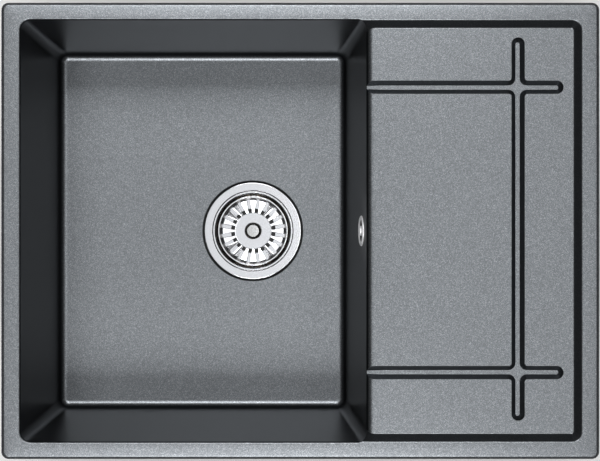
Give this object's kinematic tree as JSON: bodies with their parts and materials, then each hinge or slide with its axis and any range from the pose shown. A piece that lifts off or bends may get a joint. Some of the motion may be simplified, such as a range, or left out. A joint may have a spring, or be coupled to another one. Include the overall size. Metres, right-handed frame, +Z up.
{
  "type": "kitchen sink",
  "caption": "Drop-in composite kitchen sink with a rectangular bowl, a recessed drainer with crossing grooves, a basket strainer waste and a wall overflow piped to it.",
  "frame": {"origin": "middle of the rim in plan, in the plane where the rim's underside lies on the worktop", "axes": "+X along the rim from the bowl to the drainer, +Y to the back, +Z up"},
  "size_m": [0.65, 0.496, 0.295],
  "materials": {
    "composite": "satin",
    "stainless": "satin",
    "polished_stainless": "polished",
    "chrome": "polished",
    "rubber": "matte",
    "foam_seal": "matte",
    "black_plastic": "satin",
    "white_plastic": "satin",
    "zinc_steel": "satin",
    "brass": "satin"
  },
  "bodies": {
    "basin": {"sink_basin": "composite", "rim_seal": "foam_seal", "strainer_cup": "polished_stainless", "flange_gasket": "rubber", "waste_gasket": "rubber", "waste_body": "black_plastic", "waste_funnel": "black_plastic", "waste_bolt": "stainless", "bolt_insert": "brass", "overflow_rosette": "chrome", "overflow_screw": "chrome", "overflow_gasket": "rubber", "overflow_elbow": "black_plastic", "overflow_pipe": "white_plastic", "inlet_seal": "rubber", "inlet_nut": "black_plastic", "elbow_seal": "rubber", "elbow_nut": "black_plastic", "clip_screws": "zinc_steel", "clip_inserts": "brass"},
    "snap_ring": {"stem_clip": "stainless"},
    "basket": {"basket_shell": "polished_stainless", "basket_seal": "rubber", "seal_nut": "stainless", "basket_stem": "stainless", "basket_knob": "stainless"},
    "right_front_clip": {"right_front_clip": "zinc_steel"},
    "right_back_clip": {"right_back_clip": "zinc_steel"},
    "front_clip": {"front_clip": "zinc_steel"},
    "back_clip": {"back_clip": "zinc_steel"}
  },
  "joints": [
    {"name": "basket_lift", "type": "slide", "parent": "basin", "child": "snap_ring", "axis": [0, 0, 1], "range_m": [0, 0.26]},
    {"name": "basket_turn", "type": "hinge", "parent": "snap_ring", "child": "basket", "pos_m": [-0.056, 0, -0.2], "axis": [0, 0, 1], "continuous": true},
    {"name": "right_front_swing", "type": "hinge", "parent": "basin", "child": "right_front_clip", "pos_m": [0.295, -0.15, -0.033], "axis": [0, 0, -1], "range_deg": [0, 90]},
    {"name": "right_back_swing", "type": "hinge", "parent": "basin", "child": "right_back_clip", "pos_m": [0.295, 0.15, -0.033], "axis": [0, 0, 1], "range_deg": [0, 90]},
    {"name": "front_swing", "type": "hinge", "parent": "basin", "child": "front_clip", "pos_m": [0.195, -0.216, -0.033], "axis": [0, 0, -1], "range_deg": [0, 90]},
    {"name": "back_swing", "type": "hinge", "parent": "basin", "child": "back_clip", "pos_m": [0.195, 0.216, -0.033], "axis": [0, 0, 1], "range_deg": [0, 90]}
  ]
}
